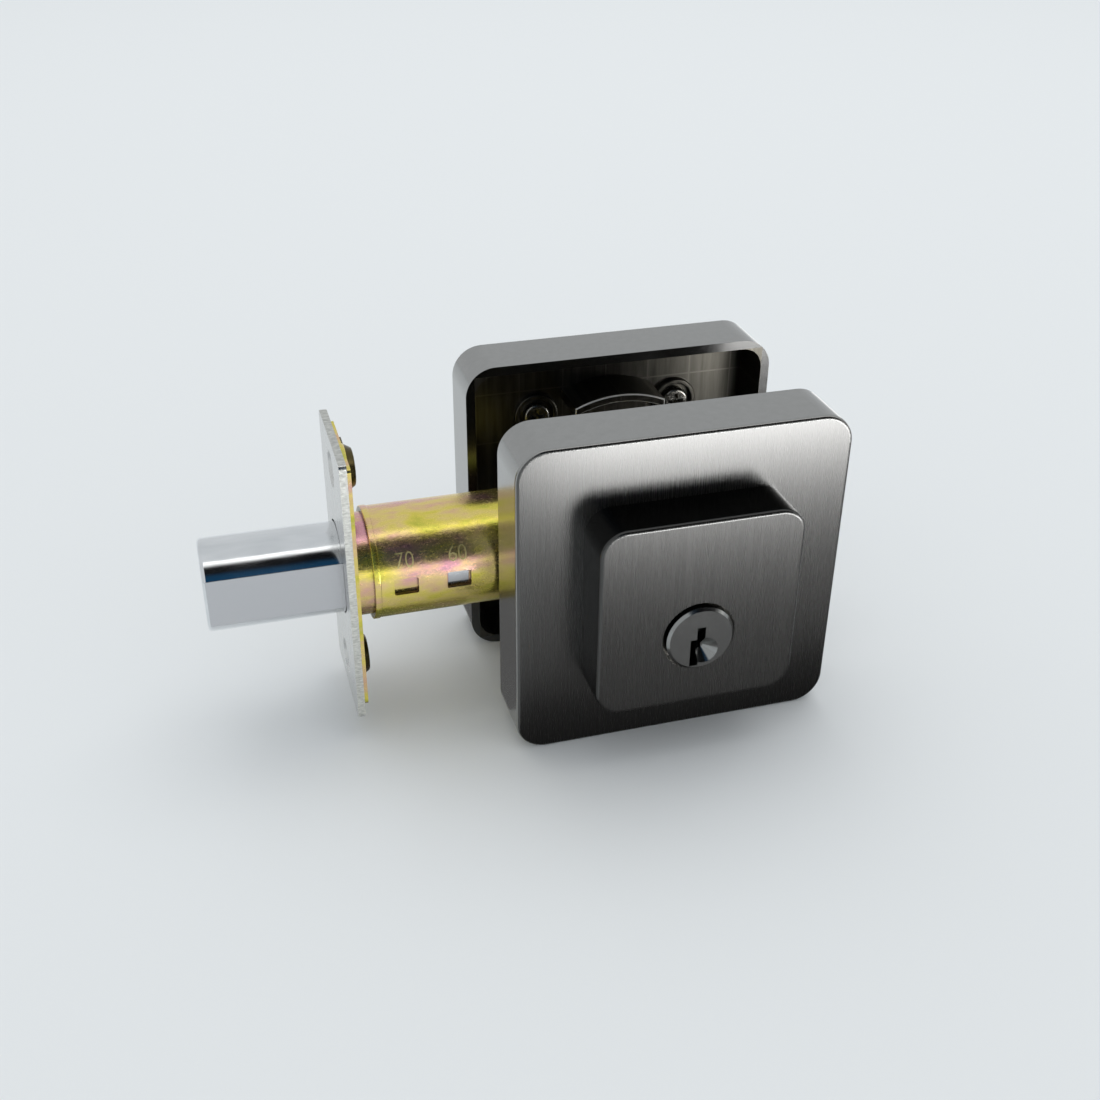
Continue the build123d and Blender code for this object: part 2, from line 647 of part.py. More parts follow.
# Bolt: round bar with two flats, hollow tail for the drawbar, bores for the roller and the link pin
with BuildPart() as bolt:
    with BuildSketch(at_x(BOLT_TIP)):
        bolt_section()
    extrude(amount=BOLT_TAIL - BOLT_TIP)
    fillet(bolt.edges().group_by(Axis.X)[0], radius=BOLT_EDGE)
    with BuildSketch(at_x(BAR_FRONT - BACKSET_STEP / 2)):
        with Locations((0, BAR_LOW + BAR_H / 2)):
            Rectangle(2 * (BAR_OUT + RUN), BAR_H + 2 * RUN)
    extrude(amount=BOLT_TAIL - BAR_FRONT + BACKSET_STEP / 2, mode=Mode.SUBTRACT)
    with BuildSketch(at_y(BOLT_HALF)):
        with Locations((LINK_X, BAR_LOW + BAR_H / 2)):
            Circle(LINK_R + FIT)
    extrude(amount=2 * BOLT_HALF, mode=Mode.SUBTRACT)
    with BuildSketch(at_z(-BOLT_RAD / 2)):
        with Locations((BOLT_TIP + ROLLER_BACK, 0)):
            Circle(ROLLER_R + FIT)
    extrude(amount=BOLT_RAD, mode=Mode.SUBTRACT)
save(bolt.part, "bolt")

with BuildPart() as roller:
    with BuildSketch(at_z(-BOLT_RAD / 2)):
        with Locations((BOLT_TIP + ROLLER_BACK, 0)):
            Circle(ROLLER_R)
    extrude(amount=BOLT_RAD)
save(roller.part, "anti_saw_roller")

with BuildPart() as link:
    with BuildSketch(at_y(BOLT_HALF - 2 * RUN)):
        with Locations((LINK_X, BAR_LOW + BAR_H / 2)):
            Circle(LINK_R)
    extrude(amount=2 * BOLT_HALF - 4 * RUN)
save(link.part, "link_pin")

# Room side: rosette, square base, spindle, thumb turn and what holds them
save(rosette(1, SPIN_R + SLIP, SPINDLE_Z, BOLT_R + SLIP, True), "inside_rosette")

with BuildPart() as base:
    with BuildSketch(at_y(FACE)):
        RectangleRounded(BLK_W, BLK_W, BLK_CORNER)
    extrude(amount=-BLK_H)
    fillet(base.edges().group_by(Axis.Y)[-1], radius=EDGE_ROUND)
    with BuildSketch(at_y(FACE)):
        with Locations((0, SPINDLE_Z)):
            Circle(SPIN_R + FIT)
        with Locations(*LOW_BOLTS):
            Circle(BOLT_R + SLIP)
    extrude(amount=-BLK_H, mode=Mode.SUBTRACT)
    with BuildSketch(at_y(TOP)):
        with Locations(*LOW_BOLTS):
            Circle(BOLT_HEAD_R + SLIP)
    extrude(amount=BOLT_SINK, mode=Mode.SUBTRACT)
    with BuildSketch(at_y(FACE)):
        with Locations(*TOP_SCREWS):
            Circle(SCREW_R + FIT)
    extrude(amount=-SCREW_BITE - RUN, mode=Mode.SUBTRACT)
save(base.part, "thumb_base")

save(pan_screws(FLOOR, 1, ROS_FACE + SCREW_BITE), "base_screws")

with BuildPart() as through:
    with BuildSketch(at_y(TOP - BOLT_SINK)):
        with Locations(*LOW_BOLTS):
            Circle(BOLT_R)
    extrude(amount=TOP - BOLT_SINK + POST_END + POST_BORE - 2 * RUN)
    with BuildSketch(at_y(TOP - BOLT_SINK + BOLT_HEAD_H)):
        with Locations(*LOW_BOLTS):
            Circle(BOLT_HEAD_R)
    extrude(amount=BOLT_HEAD_H)
    with BuildSketch(at_y(TOP - BOLT_SINK + BOLT_HEAD_H)):
        with Locations(*LOW_BOLTS):
            Rectangle(BOLT_HEAD_R * 1.2, RECESS_W)
            Rectangle(RECESS_W, BOLT_HEAD_R * 1.2)
    extrude(amount=RECESS_D, mode=Mode.SUBTRACT)
save(through.part, "through_bolts")

# Spindle: socket for the tailpiece, groove for its ring, nose for the thumb turn
TURN_Y = TOP + SLIP
RING_Y = FLOOR - WASHER_T - CLIP_T - 2 * FIT
with BuildPart() as spindle:
    with BuildSketch(at_y(TURN_Y)):
        with Locations((0, SPINDLE_Z)):
            Circle(SPIN_R)
    extrude(amount=TURN_Y - SPIN_START)
    with BuildSketch(at_y(TURN_Y + NOSE_L)):
        with Locations((0, SPINDLE_Z)):
            Circle(SPIN_NOSE_R)
    extrude(amount=NOSE_L)
    with BuildSketch(at_y(RING_Y + CLIP_T + FIT)):
        with Locations((0, SPINDLE_Z)):
            Circle(SPIN_R + RUN)
            Circle(SPIN_R - CLIP_GROOVE, mode=Mode.SUBTRACT)
    extrude(amount=CLIP_T + 2 * FIT, mode=Mode.SUBTRACT)
    with BuildSketch(at_y(TAIL_END + RUN)):
        with Locations((0, SPINDLE_Z)):
            Rectangle(TAIL_T + 2 * SLIP, TAIL_W + 2 * SLIP)
    extrude(amount=TAIL_END + RUN - SPIN_START, mode=Mode.SUBTRACT)
save(spindle.part, "turn_spindle")

save(clip_ring(RING_Y, SPIN_R - CLIP_GROOVE + FIT, CLIP_OUT), "spindle_clip")

with BuildPart() as washer:
    with BuildSketch(at_y(FLOOR - FIT)):
        with Locations((0, SPINDLE_Z)):
            Circle(WASHER_OUT)
            Circle(SPIN_R + SLIP, mode=Mode.SUBTRACT)
    extrude(amount=WASHER_T)
save(washer.part, "spring_washer")

with BuildPart() as turn:
    with BuildSketch(at_y(TURN_Y + TURN_COLLAR_H + TURN_D)):
        with Locations((0, SPINDLE_Z)):
            RectangleRounded(TURN_L, TURN_H, TURN_ROUND)
    extrude(amount=TURN_D)
    fillet(turn.edges().group_by(Axis.Y)[-1], radius=EDGE_ROUND)
    with BuildSketch(at_y(TURN_Y + TURN_COLLAR_H)):
        with Locations((0, SPINDLE_Z)):
            Circle(TURN_COLLAR_R)
    extrude(amount=TURN_COLLAR_H)
    with BuildSketch(at_y(TURN_Y + NOSE_L)):
        with Locations((0, SPINDLE_Z)):
            Circle(SPIN_NOSE_R)
    extrude(amount=NOSE_L, mode=Mode.SUBTRACT)
    with BuildSketch(at_z(SPINDLE_Z)):
        with Locations((0, TURN_Y + GRUB_Y)):
            Circle(GRUB_R + FIT)
    extrude(amount=-TURN_H, mode=Mode.SUBTRACT)
save(turn.part, "thumb_turn")

with BuildPart() as grub:
    with BuildSketch(at_z(SPINDLE_Z - SPIN_NOSE_R)):
        with Locations((0, TURN_Y + GRUB_Y)):
            Circle(GRUB_R)
    extrude(amount=-(TURN_H / 2 - SPIN_NOSE_R - RUN))
save(grub.part, "grub_screw")
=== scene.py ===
# %% [markdown]
# # A square deadbolt in brushed graphite
# The lock's solids come in as a fixed frame in metres: two square rosettes, a tubular latch and a chrome
# bolt. This lesson gives them their finishes, adds the small things that are stamped and rolled into the
# metal, and puts a plain light tent around them. Nothing of the frame is moved: a finish is a better
# material on its mesh.

# %% Load the frame
import math

import bpy
from mathutils import Matrix, Vector


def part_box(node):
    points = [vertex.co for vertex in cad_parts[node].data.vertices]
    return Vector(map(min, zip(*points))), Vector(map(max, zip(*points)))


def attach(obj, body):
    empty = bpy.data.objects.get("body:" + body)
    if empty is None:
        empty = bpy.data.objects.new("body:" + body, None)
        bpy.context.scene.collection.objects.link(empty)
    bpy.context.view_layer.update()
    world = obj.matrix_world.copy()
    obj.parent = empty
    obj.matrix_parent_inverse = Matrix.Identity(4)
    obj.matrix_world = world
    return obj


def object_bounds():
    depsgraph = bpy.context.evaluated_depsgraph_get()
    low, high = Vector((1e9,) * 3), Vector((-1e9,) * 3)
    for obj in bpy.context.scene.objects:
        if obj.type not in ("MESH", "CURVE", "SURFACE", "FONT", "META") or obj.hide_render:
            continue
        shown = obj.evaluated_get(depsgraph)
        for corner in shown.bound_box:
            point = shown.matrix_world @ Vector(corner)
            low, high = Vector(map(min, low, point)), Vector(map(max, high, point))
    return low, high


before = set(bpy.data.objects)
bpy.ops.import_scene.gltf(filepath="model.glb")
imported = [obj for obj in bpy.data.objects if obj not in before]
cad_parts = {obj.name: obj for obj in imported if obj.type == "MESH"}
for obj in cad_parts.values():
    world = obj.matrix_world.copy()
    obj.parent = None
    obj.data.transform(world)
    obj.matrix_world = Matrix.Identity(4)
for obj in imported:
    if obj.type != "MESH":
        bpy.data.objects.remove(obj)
cad_box = [list(corner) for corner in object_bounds()]
scene = bpy.context.scene
scene.view_settings.view_transform = "Standard"
MM = 0.001

# %% [markdown]
# ## Camera
# The lock is seen from above and a little to its left, from so near that the front rosette looks larger
# than the one behind. A camera can be turned by three angles, but its own three axes are easier to check,
# so the matrix is filled from the directions right, up and forward, with a small roll kept in.

# %% Camera
YAW = math.radians(16.451)
PITCH = math.radians(30.605)
ROLL = math.radians(0.46)
CAMERA_AT = Vector((-83.51, -221.18, 133.29)) * MM
FOCAL_PX = 1347.6
FRAME_PX = 1100
SENSOR_WIDTH = 36
NEAR_CLIP = 0.01

forward = Vector((math.sin(YAW) * math.cos(PITCH), math.cos(YAW) * math.cos(PITCH), -math.sin(PITCH)))
level = Vector((math.cos(YAW), -math.sin(YAW), 0))
upward = level.cross(forward)
right = math.cos(ROLL) * level + math.sin(ROLL) * upward
upright = -math.sin(ROLL) * level + math.cos(ROLL) * upward

camera_data = bpy.data.cameras.new("camera")
camera_data.sensor_width = SENSOR_WIDTH
camera_data.lens = FOCAL_PX * SENSOR_WIDTH / FRAME_PX
camera_data.clip_start = NEAR_CLIP
camera = bpy.data.objects.new("camera", camera_data)
scene.collection.objects.link(camera)
camera.matrix_world = Matrix((
    (right.x, upright.x, -forward.x, CAMERA_AT.x),
    (right.y, upright.y, -forward.y, CAMERA_AT.y),
    (right.z, upright.z, -forward.z, CAMERA_AT.z),
    (0, 0, 0, 1)))
scene.camera = camera
print("lens", round(camera_data.lens, 2), "mm")

# %% [markdown]
# ## Node helpers
# A material or a world is a graph of nodes. These helpers each add one kind of step and return its output:
# a soft step between two limits, a sum, product or vector step, the place on a piece, a mix of two
# colours, and a ramp of colours.

# %% Node helpers


def fade(tree, value, limits):
    node = tree.nodes.new("ShaderNodeMapRange")
    node.interpolation_type = "SMOOTHSTEP"
    tree.links.new(value, node.inputs["Value"])
    node.inputs["From Min"].default_value, node.inputs["From Max"].default_value = limits
    return node.outputs["Result"]


def calculate(tree, operation, *values):
    node = tree.nodes.new("ShaderNodeMath")
    node.operation = operation
    for index, value in enumerate(values):
        if isinstance(value, (int, float)):
            node.inputs[index].default_value = value
        else:
            tree.links.new(value, node.inputs[index])
    return node.outputs[0]


def total(tree, first, second):
    return calculate(tree, "ADD", first, second)


def product(tree, first, *others):
    for other in others:
        first = calculate(tree, "MULTIPLY", first, other)
    return first


def vector_step(tree, operation, first, second=None):
    node = tree.nodes.new("ShaderNodeVectorMath")
    node.operation = operation
    tree.links.new(first, node.inputs[0])
    if isinstance(second, tuple):
        node.inputs[1].default_value = second
    elif second is not None:
        tree.links.new(second, node.inputs[1])
    return node.outputs["Value"] if operation == "LENGTH" else node.outputs["Vector"]


def object_place(tree):
    return tree.nodes.new("ShaderNodeTexCoord").outputs["Object"]


def blend(tree, factor, first, second):
    node = tree.nodes.new("ShaderNodeMix")
    node.data_type = "RGBA"
    tree.links.new(factor, node.inputs[0])
    for socket, value in zip([s for s in node.inputs if s.type == "RGBA"], (first, second)):
        if isinstance(value, tuple):
            socket.default_value = value
        else:
            tree.links.new(value, socket)
    return [s for s in node.outputs if s.type == "RGBA"][0]


def ramp(tree, value, stops):
    node = tree.nodes.new("ShaderNodeValToRGB")
    tree.links.new(value, node.inputs["Fac"])
    for element, (position, colour) in zip(node.color_ramp.elements, (stops[0], stops[-1])):
        element.position = position
        element.color = colour
    for position, colour in stops[1:-1]:
        node.color_ramp.elements.new(position).color = colour
    return node.outputs["Color"]


# %% [markdown]
# ## Table and lamp
# The lock stands on a pale sheet. Far off, it fades into the tent for the camera alone, so no horizon
# shows. A wide soft box hangs above the lock and a little behind it, so the shadow falls forward. It is
# hidden from the camera and from mirrors: the metal shows the tent below instead, without a hard white
# rectangle.

# %% Table and lamp
TABLE_SIZE = 40
PAPER = (0.775, 0.796, 0.806, 1)
PAPER_ROUGHNESS = 0.7
PAPER_FADE = (1.0, 3.2)
LAMP_AT = Vector((0.30, 0.50, 1.9))
LAMP_SIZE = (2.3, 1.8)
LAMP_POWER = 17


def deselect_all():
    bpy.ops.object.select_all(action="DESELECT")


floor_z = cad_box[0][2]
deselect_all()
bpy.ops.mesh.primitive_plane_add(size=TABLE_SIZE, location=(0, 0, floor_z))
table = bpy.context.object
table.name = "table"

paper = bpy.data.materials.new("pale_paper")
paper.use_nodes = True
sheet = paper.node_tree
paper_bsdf = sheet.nodes["Principled BSDF"]
paper_bsdf.inputs["Base Color"].default_value = PAPER
paper_bsdf.inputs["Roughness"].default_value = PAPER_ROUGHNESS
paper_bsdf.inputs["Specular IOR Level"].default_value = 0
viewed = sheet.nodes.new("ShaderNodeLightPath").outputs["Is Camera Ray"]
distance = vector_step(sheet, "LENGTH", object_place(sheet))
faded = product(sheet, fade(sheet, distance, PAPER_FADE), viewed)
sheet.links.new(calculate(sheet, "SUBTRACT", 1.0, faded), paper_bsdf.inputs["Alpha"])
table.data.materials.append(paper)

deselect_all()
bpy.ops.object.light_add(type="AREA", location=LAMP_AT)
lamp = bpy.context.object
lamp.name = "overhead"
lamp.data.shape = "RECTANGLE"
lamp.data.size, lamp.data.size_y = LAMP_SIZE
lamp.data.energy = LAMP_POWER
lamp.rotation_euler = (-LAMP_AT).to_track_quat("-Z", "Y").to_euler()
lamp.visible_camera = False
lamp.visible_glossy = False
print("floor at", round(floor_z / MM, 2), "mm")

# %% [markdown]
# ## Light tent
# Polished metal shows its surroundings, so the world matters as much as the lamp. It is pale all round, but
# mirrors also see the dark room behind and above the camera, which draws the dark bands along the round
# bolt and the sleeve. The room is blue in its lower left, which only the bolt shows. Its upper edge has a
# bright lamp line, and a low bright window lies below it: these draw the light lines above and below the
# bands. A direction's x, y and z choose between them, each with a soft limit.

# %% Light tent
TENT_STRENGTH = 0.75
PALE = (0.90, 0.93, 0.95, 1)
ROOM_BLACK = (0.005, 0.006, 0.007, 1)
ROOM_BLUE = (0.008, 0.060, 0.135, 1)
LOW_WINDOW = (2.3, 2.3, 2.2, 1)
LAMP_LINE = (2.4, 2.4, 2.35, 1)

ROOM_LEFT = (-0.34, -0.16)
ROOM_FAR = (-0.14, -0.36)
ROOM_FOOT = (0.10, 0.26)
LINE_FAR = (-0.05, -0.13)
WINDOW_TOP = (0.15, 0.07)
BLUE_RIGHT = (0.125, 0.095)
BLUE_TOP = (0.84, 0.68)

world = bpy.data.worlds.new("light_tent")
world.use_nodes = True
scene.world = world
tent = world.node_tree
background = tent.nodes["Background"]
background.inputs["Strength"].default_value = TENT_STRENGTH
direction = tent.nodes.new("ShaderNodeTexCoord")
axes = tent.nodes.new("ShaderNodeSeparateXYZ")
tent.links.new(direction.outputs["Generated"], axes.inputs[0])
along_x, along_y, along_z = axes.outputs
seen = tent.nodes.new("ShaderNodeLightPath")

mirrored = product(tent, fade(tent, along_x, ROOM_LEFT), seen.outputs["Is Glossy Ray"])
above = product(tent, mirrored, fade(tent, along_z, ROOM_FOOT))
near_camera = fade(tent, along_y, ROOM_FAR)
blue = product(tent, fade(tent, along_x, BLUE_RIGHT), fade(tent, along_z, BLUE_TOP))
dark_room = blend(tent, blue, ROOM_BLACK, ROOM_BLUE)
lined = blend(tent, product(tent, above, fade(tent, along_y, LINE_FAR)), PALE, LAMP_LINE)
darkened = blend(tent, product(tent, above, near_camera), lined, dark_room)
below = product(tent, mirrored, near_camera, fade(tent, along_z, WINDOW_TOP))
tent.links.new(blend(tent, below, darkened, LOW_WINDOW), background.inputs["Color"])
print("world:", world.name)

# %% [markdown]
# ## Cards for the mirrors
# Brushed metal looks best above a card that is dark near the object and white further off: the upright
# faces mirror its white end in their upper edge and fade to dark below. One lies in front of the lock and
# a weaker one behind it. Their far left corners move in along the line of sight, so that only the faces
# see them and not the tube beside them. A small dark card beside the rosettes calms their left sides. Each
# glows by a ramp and only mirrors see it, so the cards neither light the table nor show in a view.

# %% Cards for the mirrors
CARD_LIFT = 0.1 * MM
CARD_POWER = 18.0
CARD_NEAR = 24.9 * MM
CARD_FAR = 304.9 * MM
CARD_RIGHT = 507 * MM
CARD_LEAN = (CARD_FAR - CARD_NEAR) * math.tan(YAW)
FRONT_LEFT = -34 * MM
BACK_LEFT = -20 * MM
SHADE_X = (-58 * MM, -32.5 * MM)
SHADE_Y = (-12 * MM, 55 * MM)
FALLING = (
    (0.0, 0.003), (0.045, 0.005), (0.10, 0.017), (0.20, 0.020),
    (0.30, 0.033), (0.37, 0.080), (0.44, 0.36), (0.50, 1.0))
SOFTER = ((0.05, 0.016), (0.30, 0.040), (0.50, 0.10))
SHADE = ((0.0, 0.008), (1.0, 0.008))


def card_glow(name, stops):
    material = bpy.data.materials.new(name)
    material.use_nodes = True
    tree = material.node_tree
    bsdf = tree.nodes["Principled BSDF"]
    bsdf.inputs["Base Color"].default_value = (0, 0, 0, 1)
    bsdf.inputs["Specular IOR Level"].default_value = 0
    bsdf.inputs["Emission Strength"].default_value = CARD_POWER
    split = tree.nodes.new("ShaderNodeSeparateXYZ")
    tree.links.new(object_place(tree), split.inputs[0])
    away = calculate(tree, "SUBTRACT", 0.5, split.outputs[1])
    greys = [(position, (value, value, value, 1)) for position, value in stops]
    tree.links.new(ramp(tree, away, greys), bsdf.inputs["Emission Color"])
    return material


def mirror_card(name, x_range, y_range, stops, lean=0.0):
    near, far = y_range
    width = x_range[1] - x_range[0]
    turn = -1 if far > near else 1
    deselect_all()
    bpy.ops.mesh.primitive_plane_add(
        size=1, location=(sum(x_range) / 2, (near + far) / 2, floor_z + CARD_LIFT),
        rotation=(0, 0, math.pi if turn < 0 else 0))
    card = bpy.context.object
    card.name = name
    card.scale = (width, abs(far - near), 1)
    far_left = min(card.data.vertices, key=lambda corner: turn * corner.co.x + corner.co.y)
    far_left.co.x += turn * lean / width
    card.visible_camera = False
    card.visible_diffuse = False
    card.visible_shadow = False
    card.data.materials.append(card_glow(name, stops))
    print(name, "from", near, "to", far)


mirror_card("front_card", (FRONT_LEFT, CARD_RIGHT), (-CARD_NEAR, -CARD_FAR), FALLING, CARD_LEAN)
mirror_card("back_card", (BACK_LEFT, CARD_RIGHT), (CARD_NEAR, CARD_FAR), SOFTER, CARD_LEAN)
mirror_card("shade_card", SHADE_X, SHADE_Y, SHADE)

# %% [markdown]
# ## Shared effects
# A few effects come back in several finishes, so each is a node group with its own values in each
# material: streaks (noise drawn out along a direction, for brushing and rolling), a box mask (which tells a
# face from its sides), turned rings round an axis, a grid of tool lines, and pits. All read object
# coordinates, so a finish stays on its piece when the piece moves.

# %% Shared effects


def new_group(name, inputs, output):
    group = bpy.data.node_groups.new(name, "ShaderNodeTree")
    for label, kind, value in inputs:
        socket = group.interface.new_socket(label, in_out="INPUT", socket_type=kind)
        socket.default_value = value
    group.interface.new_socket(output, in_out="OUTPUT", socket_type="NodeSocketFloat")
    return group, group.nodes.new("NodeGroupInput"), group.nodes.new("NodeGroupOutput")


def streaks_group():
    group, source, sink = new_group(
        "streaks", [("Per Metre", "NodeSocketVector", (1, 1, 1)), ("Detail", "NodeSocketFloat", 4)], "Value")
    noise = group.nodes.new("ShaderNodeTexNoise")
    noise.inputs["Scale"].default_value = 1
    noise.inputs["Roughness"].default_value = 0.65
    group.links.new(vector_step(group, "MULTIPLY", object_place(group), source.outputs["Per Metre"]),
                    noise.inputs["Vector"])
    group.links.new(source.outputs["Detail"], noise.inputs["Detail"])
    group.links.new(noise.outputs["Fac"], sink.inputs["Value"])
    return group


def box_mask_group():
    group, source, sink = new_group(
        "box_mask",
        [("Centre", "NodeSocketVector", (0, 0, 0)), ("Half", "NodeSocketVector", (1, 1, 1))], "Inside")
    offset = vector_step(group, "SUBTRACT", object_place(group), source.outputs["Centre"])
    space = vector_step(group, "SUBTRACT", source.outputs["Half"], vector_step(group, "ABSOLUTE", offset))
    split = group.nodes.new("ShaderNodeSeparateXYZ")
    group.links.new(space, split.inputs[0])
    least = calculate(group, "MINIMUM", split.outputs[0], split.outputs[1])
    least = calculate(group, "MINIMUM", least, split.outputs[2])
    group.links.new(calculate(group, "GREATER_THAN", least, 0.0), sink.inputs["Inside"])
    return group


def turned_rings_group():
    group, source, sink = new_group(
        "turned_rings",
        [("Centre", "NodeSocketVector", (0, 0, 0)), ("Across", "NodeSocketVector", (1, 0, 1)),
         ("Per Metre", "NodeSocketFloat", 3000)], "Value")
    offset = vector_step(group, "SUBTRACT", object_place(group), source.outputs["Centre"])
    radius = vector_step(group, "LENGTH", vector_step(group, "MULTIPLY", offset, source.outputs["Across"]))
    noise = group.nodes.new("ShaderNodeTexNoise")
    noise.noise_dimensions = "1D"
    noise.inputs["Scale"].default_value = 1
    noise.inputs["Detail"].default_value = 3
    group.links.new(product(group, radius, source.outputs["Per Metre"]), noise.inputs["W"])
    group.links.new(noise.outputs["Fac"], sink.inputs["Value"])
    return group


def pits_group():
    group, source, sink = new_group(
        "pits", [("Per Metre", "NodeSocketFloat", 400), ("Size", "NodeSocketFloat", 0.15)], "Value")
    cells = group.nodes.new("ShaderNodeTexVoronoi")
    group.links.new(object_place(group), cells.inputs["Vector"])
    group.links.new(source.outputs["Per Metre"], cells.inputs["Scale"])
    depth = calculate(group, "DIVIDE", cells.outputs["Distance"], source.outputs["Size"])
    group.links.new(calculate(group, "MINIMUM", depth, 1.0), sink.inputs["Value"])
    return group


def tool_grid_group():
    group, source, sink = new_group(
        "tool_grid",
        [("Pitch X", "NodeSocketFloat", 0.005), ("Pitch Z", "NodeSocketFloat", 0.005),
         ("Line", "NodeSocketFloat", 0.0002)], "On Line")
    split = group.nodes.new("ShaderNodeSeparateXYZ")
    group.links.new(object_place(group), split.inputs[0])
    across = calculate(group, "PINGPONG", split.outputs[0], source.outputs["Pitch X"])
    along = calculate(group, "PINGPONG", split.outputs[2], source.outputs["Pitch Z"])
    nearest = calculate(group, "MINIMUM", across, along)
    group.links.new(calculate(group, "LESS_THAN", nearest, source.outputs["Line"]), sink.inputs["On Line"])
    return group


STREAKS = streaks_group()
TOOL_GRID = tool_grid_group()
BOX_MASK = box_mask_group()
TURNED_RINGS = turned_rings_group()
PITS = pits_group()
print("groups:", [group.name for group in bpy.data.node_groups])

# %% [markdown]
# ## Small helpers for the finishes
# Each finish is one Principled BSDF. The helpers place a group with its values, stretch a noise to a range
# of values or of colours, choose between two values by a mask, and turn a height into a bump.

# %% Finish helpers
NOISE_LOW = 0.3
NOISE_HIGH = 0.7
WIDE = 1


def new_finish(name):
    finish = bpy.data.materials.new(name)
    finish.use_nodes = True
    bsdf = finish.node_tree.nodes["Principled BSDF"]
    bsdf.inputs["Metallic"].default_value = 1.0
    return finish, finish.node_tree, bsdf


def place(tree, group, **values):
    node = tree.nodes.new("ShaderNodeGroup")
    node.node_tree = group
    for label, value in values.items():
        node.inputs[label.replace("_", " ")].default_value = value
    return node.outputs[0]


def spread(tree, noise, low, high):
    node = tree.nodes.new("ShaderNodeMapRange")
    tree.links.new(noise, node.inputs["Value"])
    node.inputs["From Min"].default_value = NOISE_LOW
    node.inputs["From Max"].default_value = NOISE_HIGH
    node.inputs["To Min"].default_value = low
    node.inputs["To Max"].default_value = high
    return node.outputs["Result"]


def tint(tree, noise, first, second):
    return blend(tree, spread(tree, noise, 0, 1), first, second)


def choose(tree, mask, outside, inside):
    away = product(tree, calculate(tree, "SUBTRACT", 1.0, mask), outside)
    return total(tree, away, product(tree, mask, inside))


def dent(tree, bsdf, height, depth_mm):
    node = tree.nodes.new("ShaderNodeBump")
    node.inputs["Distance"].default_value = depth_mm * MM
    node.inputs["Strength"].default_value = 1.0
    tree.links.new(height, node.inputs["Height"])
    tree.links.new(node.outputs["Normal"], bsdf.inputs["Normal"])


def grey(value):
    return (value, value * 0.997, value * 0.975, 1)


def wear(finish, *nodes):
    for node in nodes:
        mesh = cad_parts[node].data
        mesh.materials.clear()
        mesh.materials.append(finish)
    print(finish.name, "on", ", ".join(nodes))


# %% [markdown]
# ## Graphite plating
# Rosettes and blocks are plated dark grey, the blocks a little darker. The faces are brushed up and down on
# a belt, which leaves thousands of fine upright lines. The sides are only polished, so they are smoother
# and mirror what stands beside them; their tone is also painted light, the rosettes' sides lighter and the
# blocks' sides darker. Inside, the hollow is left raw, with faint streaks and a grid of tool lines from the
# mould, and painted almost black as the shade in the hollow. Its open rim is dark, and the lugs that stand
# just below the rim carry a painted highlight along their edges.

# %% Graphite plating
RIM_Y = 12.25 * MM
FLOOR_Y = 22.25 * MM
FACE_Y = 24.75 * MM
BLOCK_Y = 34.25 * MM
TURN_Y = 52.75 * MM
FACE_SKIN = 0.2 * MM
RIM_SKIN = 0.06 * MM
HOLLOW_HALF = 29.97 * MM
HOLLOW_MARGIN = 0.15 * MM
LUG_DROP = 0.19 * MM
LUG_EDGE = (24 * MM, 0.17 * MM, 24 * MM)
GRID = {"Pitch_X": 4.6 * MM, "Pitch_Z": 5.4 * MM, "Line": 0.16 * MM}
# Second tone of each pair is for the sides: painted light, rosette sides lighter, block sides darker.
ROSETTE_TONES = (0.118, 0.34)
BLOCK_TONES = (0.090, 0.06)
TURN_TONES = (0.10, 0.20)
RIM_TONE = 0.09
# Painted highlight: the lugs' front edges are painted light grey as a bright edge line.
LUG_HIGHLIGHT_TONE = 0.62
# Painted shade: the hollow's raw metal is painted almost black for the shade inside it.
RAW_SHADE_DARK = (0.060, 0.056, 0.047, 1)
RAW_SHADE_LIGHT = (0.105, 0.100, 0.086, 1)
RAW_SHADE_LINE = (0.12, 0.114, 0.098, 1)
BRUSH_DEPTH_MM = 0.0006


def mottled(tree, noise, tone):
    return tint(tree, noise, grey(tone * 0.96), grey(tone * 1.04))


def shaded_raw_hollow(tree, side, colour, rough, height):
    middle = side * (RIM_Y + FLOOR_Y) / 2
    half_depth = (FLOOR_Y - RIM_Y) / 2 + HOLLOW_MARGIN
    hollow = place(tree, BOX_MASK, Centre=(0, middle, 0), Half=(HOLLOW_HALF, half_depth, HOLLOW_HALF))
    rim = place(tree, BOX_MASK, Centre=(0, side * RIM_Y, 0), Half=(WIDE, RIM_SKIN, WIDE))
    # Mask for the lugs' painted highlight.
    lug_highlight = place(tree, BOX_MASK, Centre=(0, side * (RIM_Y + LUG_DROP), 0), Half=LUG_EDGE)
    streaks = place(tree, STREAKS, Per_Metre=(900, 1, 60))
    # Painted shade over the hollow's streaks and tool grid.
    raw_in_shade = blend(tree, place(tree, TOOL_GRID, **GRID), tint(tree, streaks, RAW_SHADE_DARK, RAW_SHADE_LIGHT), RAW_SHADE_LINE)
    colour = blend(tree, rim, colour, grey(RIM_TONE))
    colour = blend(tree, hollow, colour, raw_in_shade)
    # Painted highlight along the lugs' edges.
    colour = blend(tree, lug_highlight, colour, grey(LUG_HIGHLIGHT_TONE))
    rough = choose(tree, hollow, rough, spread(tree, streaks, 0.28, 0.42))
    rough = choose(tree, lug_highlight, rough, 0.5)
    return colour, rough, total(tree, height, product(tree, hollow, streaks))


